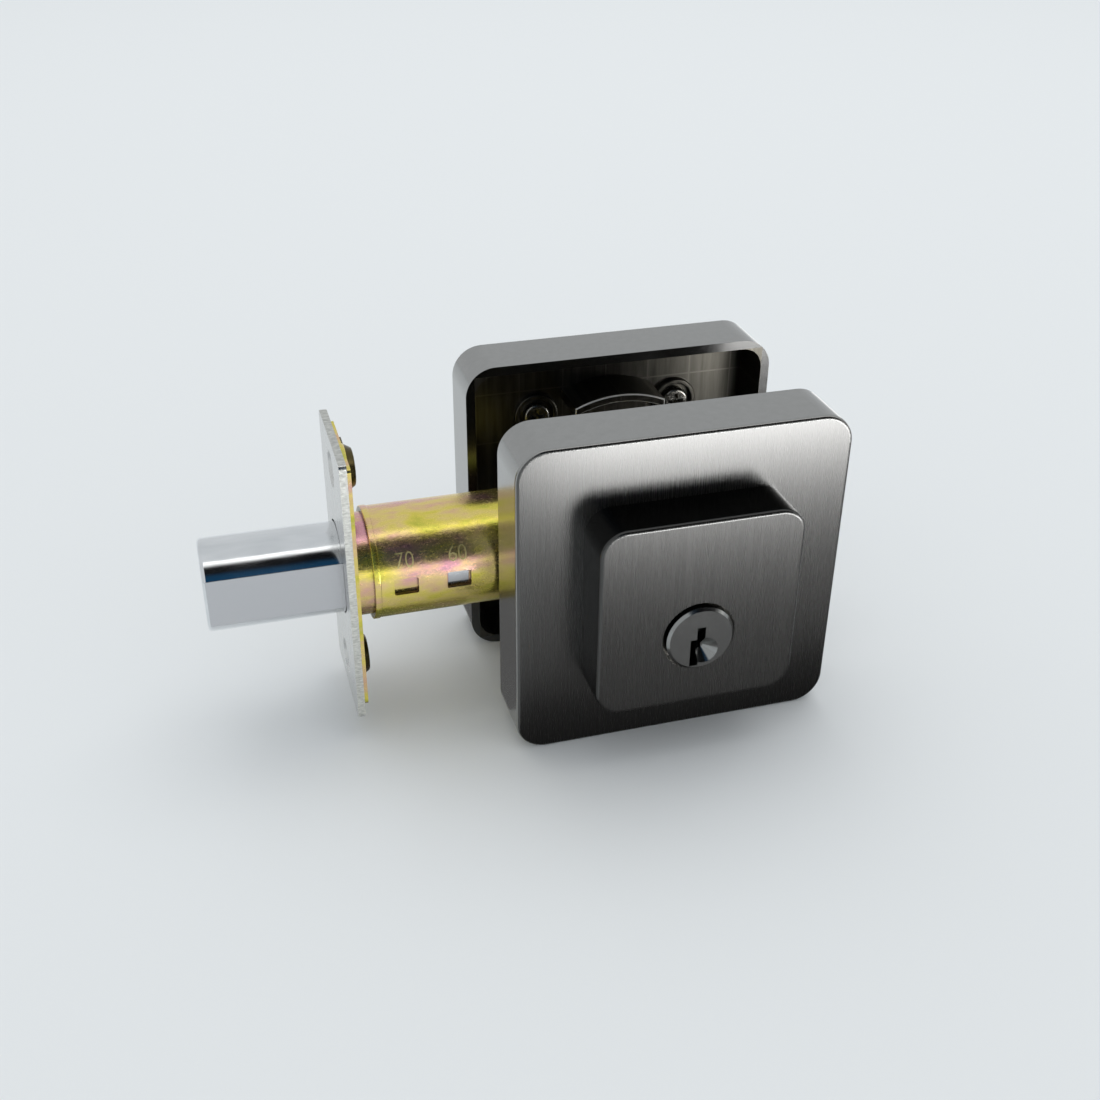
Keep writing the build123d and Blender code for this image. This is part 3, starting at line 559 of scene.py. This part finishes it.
def graphite(name, face_y, tones, hollow_side=0):
    finish, tree, bsdf = new_finish(name)
    face_tone, side_tone_with_painted_light = tones
    lines = place(tree, STREAKS, Per_Metre=(4600, 400, 45))
    broad = place(tree, STREAKS, Per_Metre=(420, 420, 25))
    fine = place(tree, STREAKS, Per_Metre=(700, 700, 700))
    face = place(tree, BOX_MASK, Centre=(0, face_y, 0), Half=(WIDE, FACE_SKIN, WIDE))
    brush = total(tree, product(tree, lines, 0.85), product(tree, broad, 0.15))
    # The side tone carries painted light as well as the polished plating.
    colour = blend(tree, face, mottled(tree, fine, side_tone_with_painted_light), mottled(tree, brush, face_tone))
    rough = choose(tree, face, spread(tree, fine, 0.19, 0.23), spread(tree, brush, 0.26, 0.285))
    height = product(tree, brush, face)
    if hollow_side:
        colour, rough, height = shaded_raw_hollow(tree, hollow_side, colour, rough, height)
    tree.links.new(colour, bsdf.inputs["Base Color"])
    tree.links.new(rough, bsdf.inputs["Roughness"])
    dent(tree, bsdf, height, BRUSH_DEPTH_MM)
    return finish


wear(graphite("graphite_outside", -FACE_Y, ROSETTE_TONES, -1), "outside_rosette")
wear(graphite("graphite_inside", FACE_Y, ROSETTE_TONES, 1), "inside_rosette")
wear(graphite("graphite_housing", -BLOCK_Y, BLOCK_TONES), "cylinder_housing")
wear(graphite("graphite_base", BLOCK_Y, BLOCK_TONES), "thumb_base")
wear(graphite("graphite_turn", TURN_Y, TURN_TONES), "thumb_turn")

# %% [markdown]
# ## Gunmetal plug
# The key plug is turned on a lathe and plated, lighter and glossier than the brushed block around it. Fine
# rings round its own axis, which lies a little below the middle of the block, show on its front. Its bevel
# and the cone that guides the key are cut after plating, so they are brighter, and the lighter grey is also
# a painted highlight.

# %% Gunmetal plug
SPINDLE = (0, 0, -4.6 * MM)
BARE_DEPTH = 1.0 * MM
PLATED_SKIN = 0.03 * MM
GUNMETAL_DARK = (0.185, 0.189, 0.187, 1)
GUNMETAL_LIGHT = (0.212, 0.216, 0.214, 1)
# Cut metal, painted lighter as a highlight on the bevel and the key cone.
CUT_METAL_HIGHLIGHT = (0.30, 0.305, 0.30, 1)
plug_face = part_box("key_plug")[0][1]


def gunmetal(name):
    finish, tree, bsdf = new_finish(name)
    rings = place(tree, TURNED_RINGS, Centre=SPINDLE, Per_Metre=9000)
    fine = place(tree, STREAKS, Per_Metre=(900, 900, 900))
    # Painted highlight on the bevel, side and key cone just behind the face.
    cut_highlight = place(tree, BOX_MASK, Centre=(0, plug_face + BARE_DEPTH, 0),
                Half=(WIDE, BARE_DEPTH - PLATED_SKIN, WIDE))
    plated = tint(tree, rings, GUNMETAL_DARK, GUNMETAL_LIGHT)
    tree.links.new(blend(tree, cut_highlight, plated, CUT_METAL_HIGHLIGHT), bsdf.inputs["Base Color"])
    tree.links.new(spread(tree, fine, 0.13, 0.22), bsdf.inputs["Roughness"])
    dent(tree, bsdf, rings, 0.003)
    return finish


wear(gunmetal("plug_gunmetal"), "key_plug")

# %% [markdown]
# ## Chrome bolt
# The bolt is a cast bar with two ground flats under bright chrome. Chrome copies the surface below it, so
# the round back keeps a soft waviness with a few pits, while the flats are satin. The small tab behind the
# sleeve's window is chromed in the same way.

# %% Chrome bolt
FLAT_Y = 7.35 * MM
FLAT_SKIN = 0.05 * MM
BRIGHT_DARK = (0.70, 0.72, 0.74, 1)
BRIGHT_LIGHT = (0.80, 0.815, 0.83, 1)
SATIN_DARK = (0.545, 0.55, 0.57, 1)
SATIN_LIGHT = (0.565, 0.57, 0.59, 1)


def chrome(name):
    finish, tree, bsdf = new_finish(name)
    wave = place(tree, STREAKS, Per_Metre=(90, 260, 260), Detail=2)
    fine = place(tree, STREAKS, Per_Metre=(1500, 1500, 1500))
    pits = place(tree, PITS, Per_Metre=330, Size=0.07)
    round_back = place(tree, BOX_MASK, Half=(WIDE, FLAT_Y - FLAT_SKIN, WIDE))
    bright = tint(tree, wave, BRIGHT_DARK, BRIGHT_LIGHT)
    satin = tint(tree, fine, SATIN_DARK, SATIN_LIGHT)
    tree.links.new(blend(tree, round_back, satin, bright), bsdf.inputs["Base Color"])
    rough = choose(tree, round_back, spread(tree, fine, 0.24, 0.27), spread(tree, wave, 0.07, 0.16))
    tree.links.new(rough, bsdf.inputs["Roughness"])
    height = total(tree, product(tree, wave, 0.8), product(tree, pits, 0.5))
    dent(tree, bsdf, product(tree, round_back, height), 0.05)
    return finish


wear(chrome("bolt_chrome"), "bolt", "backset_tab")

# %% [markdown]
# ## Nickel faceplate
# The faceplate is blanked from sheet in a press. Its face is smooth, but its edge shows how it was cut: a
# bright sheared band with a rough, torn grain.

# %% Nickel faceplate
EDGE_SKIN = 0.05 * MM
SMOOTH_DARK = (0.60, 0.60, 0.585, 1)
SMOOTH_LIGHT = (0.70, 0.70, 0.685, 1)
SHEARED_DARK = (0.42, 0.42, 0.39, 1)
SHEARED_LIGHT = (0.80, 0.80, 0.76, 1)
plate_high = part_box("faceplate")[1]


def nickel(name, half_y, half_z):
    finish, tree, bsdf = new_finish(name)
    rolled = place(tree, STREAKS, Per_Metre=(1500, 1500, 40))
    torn = place(tree, STREAKS, Per_Metre=(900, 1600, 2600))
    inner = place(tree, BOX_MASK, Half=(WIDE, half_y, half_z))
    smooth = tint(tree, rolled, SMOOTH_DARK, SMOOTH_LIGHT)
    sheared = tint(tree, torn, SHEARED_DARK, SHEARED_LIGHT)
    tree.links.new(blend(tree, inner, sheared, smooth), bsdf.inputs["Base Color"])
    rough = choose(tree, inner, spread(tree, torn, 0.30, 0.50), spread(tree, rolled, 0.22, 0.34))
    tree.links.new(rough, bsdf.inputs["Roughness"])
    grain = product(tree, torn, calculate(tree, "SUBTRACT", 1.0, inner))
    dent(tree, bsdf, total(tree, grain, product(tree, rolled, 0.08)), 0.08)
    return finish


wear(nickel("plate_nickel", plate_high[1] - EDGE_SKIN, plate_high[2] - EDGE_SKIN), "faceplate")

# %% [markdown]
# ## Yellow zinc
# The latch tubes, the back plate, the crank and the hub case are zinc plated and dipped in yellow chromate.
# The film is thin enough to shimmer, so gold runs into pink and green in cloudy patches drawn out along the
# tube. The windows are punched after plating, so their cut edges are bare. Below the sleeve's skin, these
# edges and the sleeve's inside are painted dark as shade, and the cups formed behind the plate carry a
# painted dark reflection of the parts around them.

# %% Yellow zinc
FILM = (
    (0.28, (0.73, 0.37, 0.42, 1)),
    (0.38, (0.80, 0.52, 0.33, 1)),
    (0.47, (0.84, 0.66, 0.24, 1)),
    (0.56, (0.80, 0.68, 0.13, 1)),
    (0.64, (0.60, 0.58, 0.09, 1)),
    (0.74, (0.84, 0.66, 0.32, 1)))
FILM_METALLIC = 0.95
# Painted shade: dark colour for the window edges, the sleeve's inside and the back plate's cups.
ZINC_SHADE = (0.10, 0.078, 0.030, 1)
TUBE_BLUSH = 0.10
SLEEVE_R = 10.8 * MM
SLEEVE_SKIN = 0.06 * MM
CUP_MIDDLE = 2 * MM
CUP_HALF = 2.5 * MM


def yellow_zinc(name, shade_mask=None, blush=0.0):
    finish, tree, bsdf = new_finish(name)
    bsdf.inputs["Metallic"].default_value = FILM_METALLIC
    clouds = place(tree, STREAKS, Per_Metre=(70, 150, 150), Detail=3)
    grain = place(tree, STREAKS, Per_Metre=(1300, 2600, 2600))
    colour = ramp(tree, calculate(tree, "SUBTRACT", clouds, blush), FILM)
    # Painted shade where the mask is set.
    if shade_mask:
        colour = blend(tree, shade_mask(tree), colour, ZINC_SHADE)
    tree.links.new(colour, bsdf.inputs["Base Color"])
    tree.links.new(spread(tree, grain, 0.17, 0.30), bsdf.inputs["Roughness"])
    dent(tree, bsdf, grain, 0.014)
    return finish


def below_skin(tree):
    across = vector_step(tree, "MULTIPLY", object_place(tree), (0, 1, 1))
    return calculate(tree, "LESS_THAN", vector_step(tree, "LENGTH", across), SLEEVE_R - SLEEVE_SKIN)


def formed_cups(tree):
    return place(tree, BOX_MASK, Centre=(plate_high[0] + CUP_MIDDLE, 0, 0), Half=(CUP_HALF, WIDE, WIDE))


zinc = yellow_zinc("yellow_zinc")
wear(zinc, "hub_case", "crank")
wear(yellow_zinc("tube_zinc", blush=TUBE_BLUSH), "inner_tube")
wear(yellow_zinc("sleeve_zinc", below_skin), "sleeve")
wear(yellow_zinc("formed_zinc", formed_cups), "back_plate")

# %% [markdown]
# ## Steel, brass and dark metal
# What lies inside is plain: drawn or turned steel, cylinder brass, and blackened screws, pins and cylinder
# body. The dark of the key pins and the cylinder body is also painted shade, for the keyway and the gap
# round the plug. One recipe with a set of values for each does for them all, with fine turning marks in
# colour, gloss and bump.

# %% Steel, brass and dark metal


def worked_metal(name, dark_tone, light_tone, smoothest, roughest):
    finish, tree, bsdf = new_finish(name)
    marks = place(tree, STREAKS, Per_Metre=(900, 2200, 900))
    tree.links.new(tint(tree, marks, dark_tone, light_tone), bsdf.inputs["Base Color"])
    tree.links.new(spread(tree, marks, smoothest, roughest), bsdf.inputs["Roughness"])
    dent(tree, bsdf, marks, 0.006)
    return finish


wear(worked_metal("plain_steel", (0.42, 0.42, 0.42, 1), (0.56, 0.56, 0.55, 1), 0.24, 0.40),
     "pin_springs", "plug_clip", "tailpiece", "clamp_plate", "housing_screws", "mounting_posts",
     "anti_saw_roller", "link_pin", "drive_pin", "drawbar", "turn_spindle", "grub_screw", "spindle_clip",
     "spring_washer", "through_bolts")
wear(worked_metal("cylinder_brass", (0.60, 0.46, 0.20, 1), (0.72, 0.58, 0.28, 1), 0.22, 0.36),
     "chamber_cap", "driver_pins")
# Painted shade: the cylinder body and key pins take this dark colour for the gap and the keyway.
wear(worked_metal("dark_screws_and_shade", (0.20, 0.195, 0.175, 1), (0.30, 0.29, 0.265, 1), 0.18, 0.30),
     "base_screws", "cylinder_body", "key_pins")

# %% [markdown]
# ## Stamped backset numbers
# The sleeve says which window belongs to which distance from the door edge: 60 and 70 millimetres. On the
# real tube a press stamps the figures. Here each is a text turned into a mesh, cut finer so that it can
# bend, and pressed onto a helper cylinder with Shrinkwrap, as one would lay a paper label round a bottle.
# Solidify gives the strokes their burr.

# %% Stamped backset numbers
NUMBERS = (("70", -49 * MM), ("60", -39 * MM))
NUMBER_HEIGHT = 4.4 * MM
NUMBER_WIDTH = 0.86
NUMBER_TILT = math.radians(27)
NUMBER_START = 2 * MM
STROKE_OFFSET = -0.06 * MM
HELPER_LENGTH = 20 * MM
HELPER_GAP = 0.015 * MM
BURR = 0.05 * MM
SAME_POINT = 0.001 * MM
SMOOTH_ANGLE = math.radians(35)
ALONG_X = (0, math.pi / 2, 0)


def select_only(piece):
    deselect_all()
    piece.select_set(True)
    bpy.context.view_layer.objects.active = piece


def apply_modifiers(piece):
    select_only(piece)
    for modifier in list(piece.modifiers):
        bpy.ops.object.modifier_apply(modifier=modifier.name)


def settle(piece, body, finish):
    select_only(piece)
    bpy.ops.object.transform_apply(location=True, rotation=True, scale=True)
    bpy.ops.object.shade_smooth_by_angle(angle=SMOOTH_ANGLE)
    piece.data.materials.clear()
    piece.data.materials.append(finish)
    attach(piece, body)
    print(piece.name, "faces", len(piece.data.polygons))


def flat_number(figures):
    deselect_all()
    bpy.ops.object.text_add()
    number = bpy.context.object
    number.name = "stamped_" + figures
    number.data.body = figures
    number.data.size = NUMBER_HEIGHT
    number.data.align_x = "CENTER"
    number.data.align_y = "CENTER"
    number.data.offset = STROKE_OFFSET
    bpy.ops.object.convert(target="MESH")
    bpy.ops.object.mode_set(mode="EDIT")
    bpy.ops.mesh.select_all(action="SELECT")
    bpy.ops.mesh.remove_doubles(threshold=SAME_POINT)
    bpy.ops.mesh.subdivide(number_cuts=3)
    bpy.ops.object.mode_set(mode="OBJECT")
    return number


def stamped_number(figures, x):
    deselect_all()
    bpy.ops.mesh.primitive_cylinder_add(vertices=256, radius=SLEEVE_R + HELPER_GAP, depth=HELPER_LENGTH,
                                        location=(x, 0, 0), rotation=ALONG_X)
    helper = bpy.context.object
    number = flat_number(figures)
    outwards = Vector((0, -math.cos(NUMBER_TILT), math.sin(NUMBER_TILT)))
    number.rotation_euler = (math.pi / 2 - NUMBER_TILT, 0, 0)
    number.location = outwards * (SLEEVE_R + NUMBER_START) + Vector((x, 0, 0))
    number.scale = (NUMBER_WIDTH, 1, 1)
    wrap = number.modifiers.new("wrap", "SHRINKWRAP")
    wrap.wrap_method = "PROJECT"
    wrap.use_project_z = True
    wrap.use_positive_direction = False
    wrap.use_negative_direction = True
    wrap.target = helper
    burr = number.modifiers.new("burr", "SOLIDIFY")
    burr.thickness = BURR
    burr.offset = 1
    apply_modifiers(number)
    bpy.data.objects.remove(helper)
    return number


stamp_finish = worked_metal("stamped_zinc", (0.52, 0.45, 0.20, 1), (0.64, 0.56, 0.28, 1), 0.40, 0.52)
for figures, window_x in NUMBERS:
    settle(stamped_number(figures, window_x), "lock_frame", stamp_finish)

# %% [markdown]
# ## Rolled lip
# The sleeve's front end is rolled over the inner tube, which leaves a narrow band that stands a little
# proud. An open cylinder gets a wall with Solidify and round edges with Bevel, which is quicker than
# turning a profile.

# %% Rolled lip
LIP_W = 1.2 * MM
LIP_RISE = 0.16 * MM
LIP_WALL = 0.3 * MM
LIP_ROUND = 0.12 * MM
SLEEVE_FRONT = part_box("sleeve")[0][0]

deselect_all()
bpy.ops.mesh.primitive_cylinder_add(
    vertices=160, radius=SLEEVE_R + LIP_RISE, depth=LIP_W, end_fill_type="NOTHING",
    location=(SLEEVE_FRONT + LIP_W / 2, 0, 0), rotation=ALONG_X)
lip = bpy.context.object
lip.name = "sleeve_lip"
wall = lip.modifiers.new("wall", "SOLIDIFY")
wall.thickness = LIP_WALL
wall.offset = -1
soft = lip.modifiers.new("soft", "BEVEL")
soft.width = LIP_ROUND
soft.segments = 3
soft.limit_method = "ANGLE"
apply_modifiers(lip)
settle(lip, "lock_frame", zinc)
